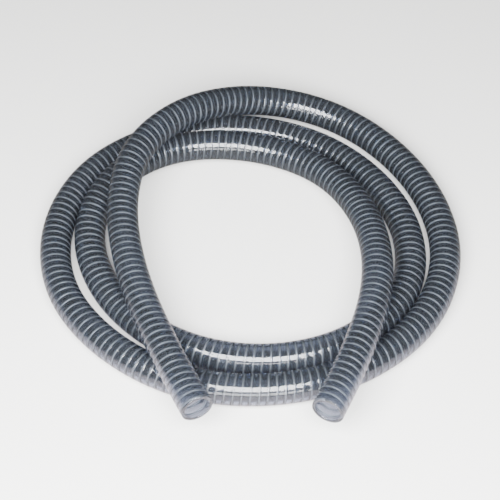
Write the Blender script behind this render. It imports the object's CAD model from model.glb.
# %% [markdown]
# # A coil of clear siphon hose
# This lesson dresses a loose coil of wire-reinforced PVC hose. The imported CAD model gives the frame, in
# metres, and every piece made here sits at the origin with its place in its mesh.

# %% Load the frame
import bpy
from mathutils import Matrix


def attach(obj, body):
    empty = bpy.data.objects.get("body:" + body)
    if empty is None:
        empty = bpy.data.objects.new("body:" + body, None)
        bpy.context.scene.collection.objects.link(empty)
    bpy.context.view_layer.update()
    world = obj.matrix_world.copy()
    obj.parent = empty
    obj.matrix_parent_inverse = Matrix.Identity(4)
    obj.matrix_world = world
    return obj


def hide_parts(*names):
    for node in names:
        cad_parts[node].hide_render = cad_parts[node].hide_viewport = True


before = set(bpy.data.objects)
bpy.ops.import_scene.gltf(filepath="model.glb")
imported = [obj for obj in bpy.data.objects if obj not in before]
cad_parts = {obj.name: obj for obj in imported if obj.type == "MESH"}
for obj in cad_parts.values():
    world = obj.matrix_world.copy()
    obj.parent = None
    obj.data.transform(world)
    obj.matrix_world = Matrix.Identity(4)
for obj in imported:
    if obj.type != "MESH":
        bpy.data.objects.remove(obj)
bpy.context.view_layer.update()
print("CAD nodes:", sorted(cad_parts))

# %% Libraries
import math

import bpy
import numpy as np
from mathutils import Vector

# %% [markdown]
# ## Sizes
# The hose is 25 mm inside with a 3.5 mm wall. A 1.5 mm spring steel wire is wound inside the wall, one turn
# to every 8 mm of hose, on a thin inner tube. These are the sizes that the CAD model was built from.

# %% Hose sizes
MM = 0.001
BORE = 25 * MM
WALL = 3.5 * MM
HOSE_DIAMETER = BORE + 2 * WALL
WIRE_DIAMETER = 1.5 * MM
WIRE_PITCH = 8 * MM
WIRE_END_INSET = 1.5 * MM
LINER_WALL = 1.0 * MM
WIRE_CIRCLE = BORE + 2 * LINER_WALL + WIRE_DIAMETER
LAYER_HEIGHT = HOSE_DIAMETER + 3 * MM
print("hose", HOSE_DIAMETER, "m across, wire wound on a circle of", round(WIRE_CIRCLE, 4), "m")

# %% [markdown]
# ## The line that the hose lies on
# A hose that has been thrown down in a coil is one smooth curve. A NURBS spline of order 3 turns a few
# corners into such a curve: it touches the middle of each straight run and never makes a kink. Layer 0 lies
# on the floor, layer 1 lies on hose that lies on the floor, and a part of a layer leans on the hose beside
# it.

# %% Corners of the line, from end A to end B: x, y in metres and the layer
ROUTE = [
    (-0.049, -0.222, 1), (-0.088, -0.141, 1), (-0.120, -0.050, 1), (-0.134, 0.036, 1.06),
    (-0.122, 0.107, 1.42), (-0.070, 0.170, 1.35), (0.003, 0.216, 0.6), (0.084, 0.214, 0.05),
    (0.149, 0.161, 0), (0.193, 0.084, 0), (0.206, -0.004, 0), (0.177, -0.089, 0), (0.111, -0.149, 0),
    (0.025, -0.177, 0), (-0.067, -0.168, 0), (-0.144, -0.119, 0), (-0.195, -0.047, 0),
    (-0.205, 0.041, 0), (-0.173, 0.123, 0), (-0.105, 0.174, 0), (-0.020, 0.191, 0), (0.066, 0.170, 0),
    (0.132, 0.112, 0), (0.169, 0.031, 0), (0.160, -0.056, 0), (0.098, -0.120, 0), (0.009, -0.142, 0),
    (-0.078, -0.120, 0), (-0.144, -0.058, 0), (-0.173, 0.026, 0.08), (-0.148, 0.101, 0.38),
    (-0.084, 0.151, 0.3), (0.002, 0.156, 0.2), (0.079, 0.118, 0.27), (0.121, 0.043, 0.55),
    (0.131, -0.049, 0.98), (0.110, -0.142, 1), (0.072, -0.225, 1),
]
LINE_RESOLUTION = 40


def route_line(corners):
    """Points along the NURBS spline of order 3 whose control points are the corners, as an (n, 3) array."""
    curve = bpy.data.curves.new("hose_line", "CURVE")
    curve.dimensions = "3D"
    curve.resolution_u = LINE_RESOLUTION
    spline = curve.splines.new("NURBS")
    spline.points.add(len(corners) - 1)
    for point, (x, y, layer) in zip(spline.points, corners):
        point.co = (x, y, HOSE_DIAMETER / 2 + layer * LAYER_HEIGHT, 1)
    spline.order_u = 3
    spline.use_endpoint_u = True
    holder = bpy.data.objects.new("hose_line", curve)
    line = bpy.data.meshes.new_from_object(holder)
    places = np.empty(len(line.vertices) * 3)
    line.vertices.foreach_get("co", places)
    bpy.data.objects.remove(holder)
    bpy.data.curves.remove(curve)
    bpy.data.meshes.remove(line)
    return places.reshape(-1, 3)


line_points = route_line(ROUTE)
line_steps = np.linalg.norm(np.diff(line_points, axis=0), axis=1)
line_distance = np.concatenate([[0], np.cumsum(line_steps)])
HOSE_LENGTH = float(line_distance[-1])
print("hose line:", len(line_points), "points,", round(HOSE_LENGTH, 3), "m long")

# %% [markdown]
# ## A frame that travels along the line
# Everything on the hose is placed by three numbers: how far along it lies, how far from the middle, and the
# angle round. The line never stands upright, so the angle can be counted from the horizontal: side points
# out level, and up completes the right angle.

# %% Place points round the line


def along_line(distance):
    """The line's place, direction, side and up at each distance, each as an array one axis longer."""
    centre = np.stack([np.interp(distance, line_distance, line_points[:, i]) for i in range(3)], axis=-1)
    slopes = np.gradient(line_points, line_distance, axis=0)
    heading = np.stack([np.interp(distance, line_distance, slopes[:, i]) for i in range(3)], axis=-1)
    heading /= np.linalg.norm(heading, axis=-1, keepdims=True)
    side = np.cross(heading, [0.0, 0.0, 1.0])
    side /= np.linalg.norm(side, axis=-1, keepdims=True)
    return centre, heading, side, np.cross(side, heading)


def winding_angle(distance):
    """The angle of the wire round the hose: one whole turn for each pitch of distance."""
    return 2 * np.pi * distance / WIRE_PITCH


print("direction at end A:", np.round(along_line(np.array([0.0]))[1][0], 3))

# %% [markdown]
# ## Mesh from a grid
# Each piece is a grid of points whose rows are rings. A ring is closed, so the last column joins the first.
# The faces and the UV map come from the same two indices, as whole arrays.

# %% Grid helper


def ring_mesh(name, rings, u, v, closed):
    """A mesh from rings, an (n, m, 3) array. closed joins the last ring to the first; otherwise both end
    rings are filled with one face. u has one value for each ring and v one for each column plus one."""
    rows, columns = rings.shape[:2]
    spans = rows if closed else rows - 1
    i, j = np.meshgrid(np.arange(spans), np.arange(columns), indexing="ij")
    below, beside = (i + 1) % rows, (j + 1) % columns
    row, next_row = i * columns, below * columns
    quads = np.stack([row + j, row + beside, next_row + beside, next_row + j], -1).reshape(-1, 4)
    u_corners = np.stack([u[i], u[i], u[below], u[below]], -1).reshape(-1)
    v_corners = np.stack([v[j], v[j + 1], v[j + 1], v[j]], -1).reshape(-1)
    corners = quads.reshape(-1)
    starts = np.arange(len(quads)) * 4
    if not closed:
        first, last = np.arange(columns)[::-1], np.arange(columns) + (rows - 1) * columns
        starts = np.concatenate([starts, [len(corners), len(corners) + columns]])
        corners = np.concatenate([corners, first, last])
        u_corners = np.concatenate([u_corners, np.full(columns, u[0]), np.full(columns, u[-1])])
        v_corners = np.concatenate([v_corners, v[:-1], v[:-1]])
    mesh = bpy.data.meshes.new(name)
    mesh.vertices.add(rows * columns)
    mesh.vertices.foreach_set("co", rings.reshape(-1).astype(np.float32))
    mesh.loops.add(len(corners))
    mesh.loops.foreach_set("vertex_index", corners.astype(np.int32))
    mesh.polygons.add(len(starts))
    mesh.polygons.foreach_set("loop_start", starts.astype(np.int32))
    mesh.update(calc_edges=True)
    mesh.validate()
    layer = mesh.uv_layers.new(name="along_and_round")
    layer.data.foreach_set("uv", np.stack([u_corners, v_corners], -1).reshape(-1).astype(np.float32))
    mesh.polygons.foreach_set("use_smooth", np.ones(len(mesh.polygons), bool))
    piece = bpy.data.objects.new(name, mesh)
    bpy.context.scene.collection.objects.link(piece)
    print(name, len(mesh.vertices), "vertices,", len(mesh.polygons), "faces")
    return piece


# %% [markdown]
# ## The plastic wall
# The inner tube and the outer cover are welded by heat into one clear wall, so they are one closed skin
# here: along the outside, across the cut at end B, back along the bore and across the cut at end A. The
# cover shrinks as it cools and sinks a little between the turns of wire, which gives the hose faint ribs.

# %% Wall sizes
RIB_DEPTH = 0.15 * MM
CUT_ROUNDING = 0.4 * MM
OUTSIDE_RINGS_PER_PITCH = 6
BORE_RING_SPACING = 8 * MM
ROUND_COLUMNS = 32
EDGE_RINGS = 3
OUTSIDE_RINGS = int(HOSE_LENGTH / WIRE_PITCH * OUTSIDE_RINGS_PER_PITCH)
print("outside rings", OUTSIDE_RINGS, "of", ROUND_COLUMNS, "points")

# %% The wall's rings


def wall_profile():
    """Distance and radius of each ring, and how much of the rib depth it takes, round the wall's outline."""
    outside = np.linspace(CUT_ROUNDING, HOSE_LENGTH - CUT_ROUNDING, OUTSIDE_RINGS)
    inside = np.linspace(HOSE_LENGTH - CUT_ROUNDING, CUT_ROUNDING, int(HOSE_LENGTH / BORE_RING_SPACING))
    turn = np.linspace(0, np.pi / 2, EDGE_RINGS + 1)[1:]
    outer_edge = CUT_ROUNDING * (1 - np.cos(turn))
    edge_distance = CUT_ROUNDING * np.sin(turn)
    end_b = HOSE_LENGTH - CUT_ROUNDING + edge_distance
    end_a = CUT_ROUNDING - edge_distance
    outer, inner = HOSE_DIAMETER / 2, BORE / 2
    distance = np.concatenate([outside, end_b, end_b[::-1], inside, end_a, end_a[::-1]])
    radius = np.concatenate([
        np.full(len(outside), outer), outer - outer_edge, inner + outer_edge[::-1],
        np.full(len(inside), inner), inner + outer_edge, outer - outer_edge[::-1],
    ])
    rib = np.where(radius > outer - 0.5 * CUT_ROUNDING, 1.0, 0.0)
    return distance, radius, rib


def wall_rings(distance, radius, rib):
    """Ring points: centre + r (cos a side + sin a up), where r dips between wires as
    depth (1 - cos(a - winding angle)) / 2."""
    angle = np.linspace(0, 2 * np.pi, ROUND_COLUMNS, endpoint=False)
    centre, _, side, up = along_line(distance)
    phase = angle[None, :] - winding_angle(distance)[:, None]
    dip = RIB_DEPTH * rib[:, None] * (1 - np.cos(phase)) / 2
    reach = (radius[:, None] - dip)[..., None]
    spoke = np.cos(angle)[None, :, None] * side[:, None] + np.sin(angle)[None, :, None] * up[:, None]
    return centre[:, None] + reach * spoke


wall_distance, wall_radius, wall_rib = wall_profile()
# The columns run backwards so that the faces look outwards, and the roll keeps the one at angle 0 first
wall_points = np.roll(wall_rings(wall_distance, wall_radius, wall_rib)[:, ::-1], 1, axis=1)
wall = ring_mesh("pvc_wall", wall_points, wall_distance, np.linspace(1, 0, ROUND_COLUMNS + 1), closed=True)
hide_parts("outer_cover_end_a", "outer_cover_coil", "outer_cover_end_b",
            "inner_liner_end_a", "inner_liner_coil", "inner_liner_end_b")
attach(wall, "root")

# %% [markdown]
# ## The steel wire
# The wire is a helix on a bent axis. Its middle line is the hose's line plus an arm that turns once a pitch,
# and a small circle is carried along it, square to the wire's own direction.

# %% Wire rings
WIRE_STEPS_PER_TURN = 24
WIRE_COLUMNS = 6


def wire_rings():
    """Ring points: middle + r (cos a arm + sin a across), where arm is the spoke from the hose's middle and
    across is square to both the arm and the wire."""
    turns = (HOSE_LENGTH - 2 * WIRE_END_INSET) / WIRE_PITCH
    distance = np.linspace(WIRE_END_INSET, HOSE_LENGTH - WIRE_END_INSET, int(turns * WIRE_STEPS_PER_TURN))
    centre, _, side, up = along_line(distance)
    turn = winding_angle(distance)[:, None]
    arm = np.cos(turn) * side + np.sin(turn) * up
    middle = centre + arm * WIRE_CIRCLE / 2
    heading = np.gradient(middle, distance, axis=0)
    heading /= np.linalg.norm(heading, axis=1, keepdims=True)
    across = np.cross(heading, arm)
    across /= np.linalg.norm(across, axis=1, keepdims=True)
    angle = np.linspace(0, 2 * np.pi, WIRE_COLUMNS, endpoint=False)[None, :, None]
    ring = np.cos(angle) * arm[:, None] + np.sin(angle) * across[:, None]
    return distance, middle[:, None] + ring * WIRE_DIAMETER / 2


wire_distance, wire_points = wire_rings()
wire = ring_mesh("steel_wire", wire_points, wire_distance, np.linspace(0, 1, WIRE_COLUMNS + 1), closed=False)
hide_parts("wire_helix")
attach(wire, "root")

# %% [markdown]
# ## Materials
# One function turns a hex colour to the linear values that shaders use, and one adds a node. The plastic is
# almost all transmission, and most of its smoke tint comes from absorption inside the wall.

# %% Material helpers


def linear(hex_colour):
    """Linear RGBA from an sRGB hex colour such as 8fa3ad."""
    srgb = np.array([int(hex_colour[i:i + 2], 16) for i in (0, 2, 4)]) / 255
    rgb = np.where(srgb <= 0.04045, srgb / 12.92, ((srgb + 0.055) / 1.055) ** 2.4)
    return (*rgb, 1.0)


def node(tree, kind, settings=None, **inputs):
    """Add a node of this kind, set its properties, and set or link its inputs by name, or by number: _0."""
    made = tree.nodes.new(kind)
    for key, value in (settings or {}).items():
        setattr(made, key, value)
    for key, value in inputs.items():
        socket = made.inputs[int(key[1:])] if key[0] == "_" else made.inputs[key.replace("_", " ")]
        if isinstance(value, bpy.types.NodeSocket):
            tree.links.new(value, socket)
        else:
            socket.default_value = value
    return made


def material(name):
    """A new material and its shader tree, emptied but for the output."""
    made = bpy.data.materials.new(name)
    made.use_nodes = True
    tree = made.node_tree
    tree.nodes.clear()
    return made, tree, tree.nodes.new("ShaderNodeOutputMaterial")


# %% Clear soft PVC
WELD_HAZE = 0.028
RIB_SHADING = 0.15 * MM
WELD_FADES_FROM, WELD_FULL_FROM = 0.1, 0.95
PVC_TINTS = "b4bdc9", "d7dce4"
SMOKE_COLOUR = "7d8ca5"
ROUGH_WELD, ROUGH_PATCHES, ROUGH_DIE_LINES = 0.1, 0.12, 0.06
PVC_IOR = 1.53
PVC_TRANSMISSION = 0.98
SMOKE_DENSITY = 150.0
DIE_LINE_SPACING = 0.6 * MM
DIE_LINE_LENGTH = 0.06
DIE_LINE_DEPTH = 0.02 * MM
DULL_PATCH_SIZE = 0.02
print("plastic: refractive index", PVC_IOR, "and weld haze", WELD_HAZE)


def clear_pvc():
    """Extruded soft PVC with a smoke tint. The UV map counts metres along and turns round, so the plastic
    over the wire, which is hazy from the weld, is where cos(2 pi (round - along / pitch)) is near 1."""
    made, tree, output = material("clear_extruded_pvc")
    place = node(tree, "ShaderNodeSeparateXYZ", Vector=node(
        tree, "ShaderNodeUVMap", {"uv_map": "along_and_round"}).outputs["UV"])
    along, turns = place.outputs["X"], place.outputs["Y"]

    def maths(operation, first, second=0.0):
        return node(tree, "ShaderNodeMath", {"operation": operation}, _0=first, _1=second).outputs[0]

    phase = maths("SUBTRACT", turns, maths("DIVIDE", along, WIRE_PITCH))
    over_wire = node(
        tree, "ShaderNodeMapRange", {"interpolation_type": "SMOOTHSTEP"},
        Value=maths("COSINE", maths("MULTIPLY", phase, 2 * math.pi)),
        From_Min=WELD_FADES_FROM, From_Max=WELD_FULL_FROM,
    ).outputs["Result"]
    # Die lines run along the hose, a little apart round it, and each fades in and out along it
    stretched = node(tree, "ShaderNodeCombineXYZ", X=maths("MULTIPLY", along, 1 / DIE_LINE_LENGTH),
                     Y=maths("MULTIPLY", turns, math.pi * HOSE_DIAMETER / DIE_LINE_SPACING))
    die_noise = node(tree, "ShaderNodeTexNoise", Vector=stretched.outputs[0], Scale=1.0, Detail=3.0)
    die_lines = die_noise.outputs[0]
    # Handling leaves dull patches
    spot = node(tree, "ShaderNodeTexCoord").outputs["Object"]
    dull = node(tree, "ShaderNodeTexNoise", Vector=spot, Scale=1 / DULL_PATCH_SIZE, Detail=4.0).outputs[0]
    roughness = maths("ADD", maths("MULTIPLY", over_wire, ROUGH_WELD), maths(
        "ADD", maths("MULTIPLY", dull, ROUGH_PATCHES), maths("MULTIPLY", die_lines, ROUGH_DIE_LINES)))
    tint = node(tree, "ShaderNodeMix", {"data_type": "RGBA"}, Factor=maths("MULTIPLY", dull, die_lines),
                _6=linear(PVC_TINTS[0]), _7=linear(PVC_TINTS[1]))
    ribs = node(tree, "ShaderNodeBump", Height=over_wire, Strength=1.0, Distance=RIB_SHADING)
    lines = node(tree, "ShaderNodeBump", Height=die_lines, Strength=0.25, Distance=DIE_LINE_DEPTH,
                 Normal=ribs.outputs[0])
    shader = node(
        tree, "ShaderNodeBsdfPrincipled",
        **{"Base_Color": tint.outputs[2], "Roughness": roughness, "IOR": PVC_IOR,
           "Normal": lines.outputs[0],
           "Transmission_Weight": maths(
               "SUBTRACT", PVC_TRANSMISSION, maths("MULTIPLY", over_wire, WELD_HAZE))},
    )
    tree.links.new(shader.outputs[0], output.inputs["Surface"])
    smoke = node(tree, "ShaderNodeVolumeAbsorption", Color=linear(SMOKE_COLOUR), Density=SMOKE_DENSITY)
    tree.links.new(smoke.outputs[0], output.inputs["Volume"])
    return made


# %% Spring steel wire
DRAWING_LINE_LENGTH = 0.02
DRAWING_LINE_SPACING = 0.3 * MM
DRAWING_LINE_DEPTH = 0.02 * MM
ZINC_PATCH_SIZE = 0.006
STEEL_COLOURS = "8f949b", "b6babe"
STEEL_ROUGHNESS = 0.42, 0.62
WIRE_PER_HOSE = 11
WIRE_ROUND = 4.7 * MM
print("wire:", WIRE_PER_HOSE, "m to each metre of hose, and", WIRE_ROUND, "m round")


def wire_steel():
    """Drawn, zinc-plated spring steel: bright, with drawing lines along the wire and duller zinc patches."""
    made, tree, output = material("zinc_plated_spring_steel")
    place = node(tree, "ShaderNodeUVMap", {"uv_map": "along_and_round"}).outputs["UV"]
    # One unit of u is 1 m of hose, which holds about 11 m of wire, and one unit of v is once round the wire
    stretch = (WIRE_PER_HOSE / DRAWING_LINE_LENGTH, WIRE_ROUND / DRAWING_LINE_SPACING, 1.0)
    drawn = node(tree, "ShaderNodeMapping", Vector=place, Scale=stretch).outputs[0]
    drawing_lines = node(tree, "ShaderNodeTexNoise", Vector=drawn, Scale=1.0, Detail=2.0).outputs[0]
    spot = node(tree, "ShaderNodeTexCoord").outputs["Object"]
    zinc = node(tree, "ShaderNodeTexNoise", Vector=spot, Scale=1 / ZINC_PATCH_SIZE, Detail=4.0).outputs[0]
    colour = node(tree, "ShaderNodeMix", {"data_type": "RGBA"}, Factor=zinc,
                  _6=linear(STEEL_COLOURS[0]), _7=linear(STEEL_COLOURS[1]))
    roughness = node(tree, "ShaderNodeMapRange", Value=drawing_lines,
                     To_Min=STEEL_ROUGHNESS[0], To_Max=STEEL_ROUGHNESS[1]).outputs[0]
    lines = node(tree, "ShaderNodeBump", Height=drawing_lines, Strength=0.3,
                 Distance=DRAWING_LINE_DEPTH)
    shader = node(
        tree, "ShaderNodeBsdfPrincipled",
        **{"Base_Color": colour.outputs[2], "Metallic": 1.0, "Roughness": roughness,
           "Normal": lines.outputs[0]},
    )
    tree.links.new(shader.outputs[0], output.inputs["Surface"])
    return made


# %% Put the materials on
wall.data.materials.append(clear_pvc())
wire.data.materials.append(wire_steel())
print("materials:", [piece.data.materials[0].name for piece in (wall, wire)])

# %% [markdown]
# ## Floor, light and camera
# Clear plastic shows what is round it, so the studio matters as much as the material: a wide softbox in
# front draws the long highlights, and a floor that darkens towards the back gives the hose its dark edges.

# %% Floor
FLOOR_SIZE = 12
FLOOR_LIGHT_FROM = -0.2
FLOOR_DARK_FROM = 0.06
FLOOR_SEEN = "f4f4f2"
FLOOR_MIRRORED = "cfc7cb", "5e5c59"
bpy.ops.mesh.primitive_plane_add(size=FLOOR_SIZE)
floor = bpy.context.object
floor.name = "floor"
floor_material, floor_tree, floor_output = material("pale_floor")
# The camera sees an even, pale floor. The hose mirrors and refracts one that darkens towards the back, so
# that its edges are dark against the floor and its near side is light
seen_directly = node(floor_tree, "ShaderNodeLightPath").outputs["Is Camera Ray"]
floor_place = node(floor_tree, "ShaderNodeSeparateXYZ", Vector=node(
    floor_tree, "ShaderNodeTexCoord").outputs["Object"])
towards_the_back = node(floor_tree, "ShaderNodeMapRange", Value=floor_place.outputs["Y"],
                        From_Min=FLOOR_LIGHT_FROM, From_Max=FLOOR_DARK_FROM).outputs[0]
mirrored_colour = node(floor_tree, "ShaderNodeMix", {"data_type": "RGBA"}, Factor=towards_the_back,
                       _6=linear(FLOOR_MIRRORED[0]), _7=linear(FLOOR_MIRRORED[1]))
floor_colour = node(floor_tree, "ShaderNodeMix", {"data_type": "RGBA"}, Factor=seen_directly,
                    _6=mirrored_colour.outputs[2], _7=linear(FLOOR_SEEN))
floor_shader = node(floor_tree, "ShaderNodeBsdfPrincipled", Base_Color=floor_colour.outputs[2],
                    Roughness=0.7)
floor_tree.links.new(floor_shader.outputs[0], floor_output.inputs["Surface"])
floor.data.materials.append(floor_material)
print("floor", FLOOR_SIZE, "m square")

# %% World
WORLD_STRENGTH = 0.05
world = bpy.data.worlds.new("studio")
bpy.context.scene.world = world
world.use_nodes = True
world.node_tree.nodes["Background"].inputs["Color"].default_value = linear("f2f4f7")
world.node_tree.nodes["Background"].inputs["Strength"].default_value = WORLD_STRENGTH
print("world strength", WORLD_STRENGTH)

# %% Camera
CAMERA_ELEVATION = math.radians(48)
CAMERA_DISTANCE = 56 * HOSE_DIAMETER
AIM = Vector((0, 0.022, 0))
SENSOR_WIDTH_MM = 36
LENS_MM = 123.4
camera_data = bpy.data.cameras.new("camera")
camera_data.sensor_width = SENSOR_WIDTH_MM
camera_data.lens = LENS_MM
camera = bpy.data.objects.new("camera", camera_data)
bpy.context.scene.collection.objects.link(camera)
view_direction = Vector((0, math.cos(CAMERA_ELEVATION), -math.sin(CAMERA_ELEVATION)))
camera.location = AIM - view_direction * CAMERA_DISTANCE
camera.rotation_euler = view_direction.to_track_quat("-Z", "Y").to_euler()
bpy.context.scene.camera = camera
print("camera", round(CAMERA_DISTANCE, 3), "m away,", round(math.degrees(CAMERA_ELEVATION)), "degrees up")

# %% Lights


def softbox(name, place, width, height, power):
    """A rectangular softbox at a place in metres, its power in watts, turned to the middle of the coil."""
    data = bpy.data.lights.new(name, "AREA")
    data.shape = "RECTANGLE"
    data.size, data.size_y = width, height
    data.energy = power
    lamp = bpy.data.objects.new(name, data)
    lamp.location = place
    lamp.rotation_euler = (-Vector(place)).to_track_quat("-Z", "Y").to_euler()
    bpy.context.scene.collection.objects.link(lamp)
    print(name, width, "by", height, "m,", power, "W")
    return lamp


softbox("key_softbox", Vector((-0.12, -0.9, 1.0)), 1.3, 0.7, 130)
softbox("front_fill", Vector((0.0, -1.1, 0.28)), 0.9, 0.3, 14)
